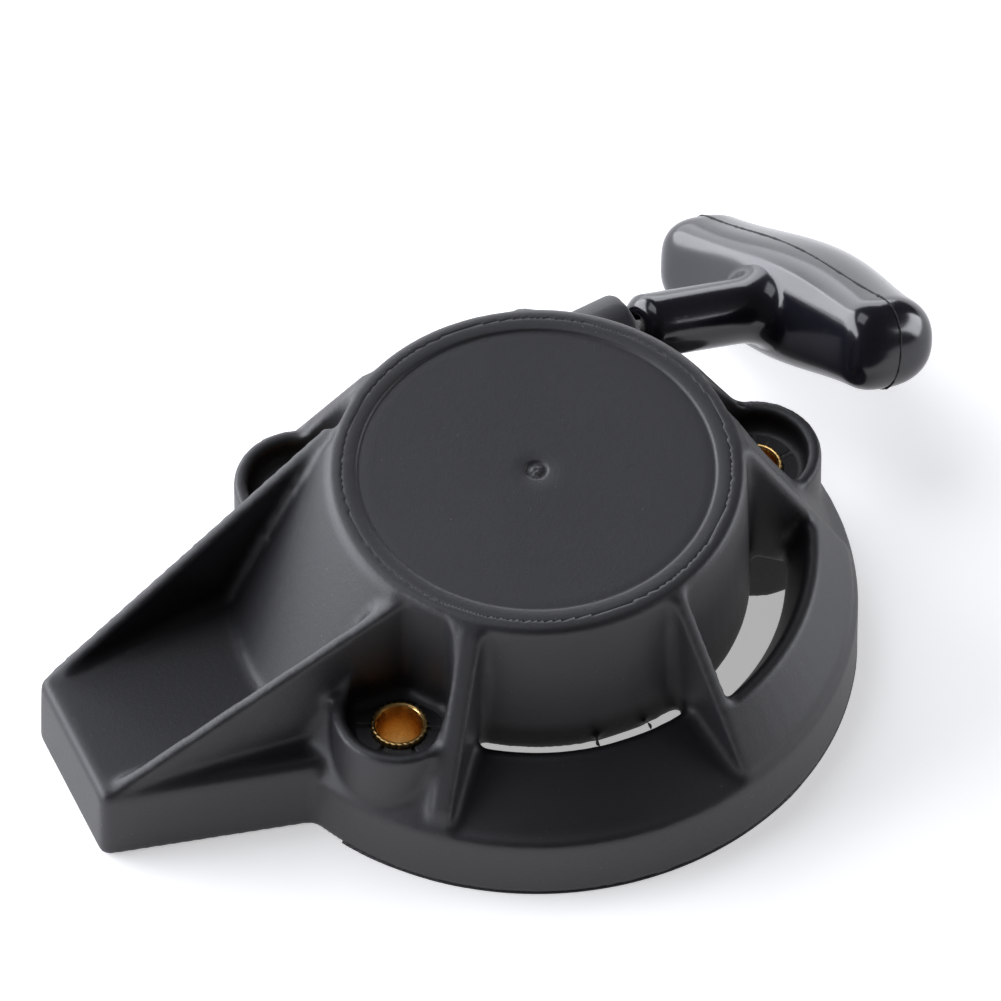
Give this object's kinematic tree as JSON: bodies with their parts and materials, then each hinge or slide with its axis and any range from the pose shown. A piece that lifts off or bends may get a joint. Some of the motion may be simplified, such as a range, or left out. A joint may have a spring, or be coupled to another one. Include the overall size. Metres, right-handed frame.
{
  "type": "recoil starter",
  "caption": "Pull-rope recoil starter for a small two-stroke engine: black moulded housing with a drum, cooling vents, screw ears and a tongue, sprung rope reel with pawls, and a T-handle.",
  "frame": {"origin": "on the reel's axis, in the plane of the rim that sits on the engine", "axes": "+Z along the reel's axis towards the closed top, the tongue points along -X, the rope leaves towards +X and slightly +Y"},
  "size_m": [0.1968, 0.1424, 0.0548],
  "materials": {
    "housing_plastic": "fine matt moulded grain",
    "handle_plastic": "polished black moulding",
    "bush_brass": "machined, knurled collar",
    "case_steel": "zinc plated sheet",
    "spring_steel": "blued spring steel",
    "sleeve_steel": "ground steel",
    "screw_steel": "yellow zinc plated",
    "pawl_steel": "sintered steel",
    "eyelet_plastic": "hard nylon",
    "reel_plastic": "glass filled nylon",
    "guide_plastic": "natural acetal",
    "rope_fibre": "braided nylon"
  },
  "bodies": {
    "housing": {"housing": "housing_plastic", "bush_front": "bush_brass", "bush_left": "bush_brass", "bush_right": "bush_brass", "spring_case": "case_steel", "recoil_spring": "spring_steel", "post_sleeve": "sleeve_steel", "centre_screw": "screw_steel", "centre_washer": "screw_steel", "rope_eyelet": "eyelet_plastic"},
    "reel": {"reel": "reel_plastic", "rope_winding": "rope_fibre", "reel_knot": "rope_fibre", "pawl_pin_a": "screw_steel", "pawl_pin_b": "screw_steel", "pawl_spring_a": "spring_steel", "pawl_spring_b": "spring_steel"},
    "pawl_a": {"pawl_a": "pawl_steel"},
    "pawl_b": {"pawl_b": "pawl_steel"},
    "guide": {"ratchet_guide": "guide_plastic", "friction_spring": "spring_steel"},
    "rope_end": {"rope_run": "rope_fibre"},
    "handle": {"handle_grip": "handle_plastic", "rope_tail": "rope_fibre", "knot_washer": "screw_steel", "handle_knot": "rope_fibre"}
  },
  "joints": [
    {"name": "handle_pull", "type": "slide", "parent": "housing", "child": "rope_end", "axis": [0.989, 0.1478, 0], "range_m": [0, 0.85], "stiffness_N_per_m": 8, "springref_m": -1, "deforming": ["rope_run"]},
    {"name": "handle_tilt", "type": "hinge", "parent": "rope_end", "child": "handle", "pos_m": [0.03744, 0.03906, 0.037], "axis": [0.1478, -0.989, 0], "range_deg": [0, 34]},
    {"name": "reel_spin", "type": "hinge", "parent": "housing", "child": "reel", "pos_m": [0, 0, 0.037], "axis": [0, 0, 1], "range_deg": [-1655, 0], "deforming": ["recoil_spring"]},
    {"name": "guide_turn", "type": "hinge", "parent": "reel", "child": "guide", "pos_m": [0, 0, 0.0234], "axis": [0, 0, 1], "range_deg": [0, 20], "stiffness_Nm_per_rad": 0.003},
    {"name": "pawl_a_swing", "type": "hinge", "parent": "reel", "child": "pawl_a", "pos_m": [0.01456, 0.0053, 0.0283], "axis": [0, 0, 1], "range_deg": [0, 38]},
    {"name": "pawl_b_swing", "type": "hinge", "parent": "reel", "child": "pawl_b", "pos_m": [-0.01456, -0.0053, 0.0283], "axis": [0, 0, 1], "range_deg": [0, 38]}
  ],
  "couplings": [
    {"joint": "reel_spin", "follows": "handle_pull", "rad_per_m": -33.9},
    {"joint": "pawl_a_swing", "follows": "guide_turn", "ratio": 1.9},
    {"joint": "pawl_b_swing", "follows": "guide_turn", "ratio": 1.9}
  ]
}
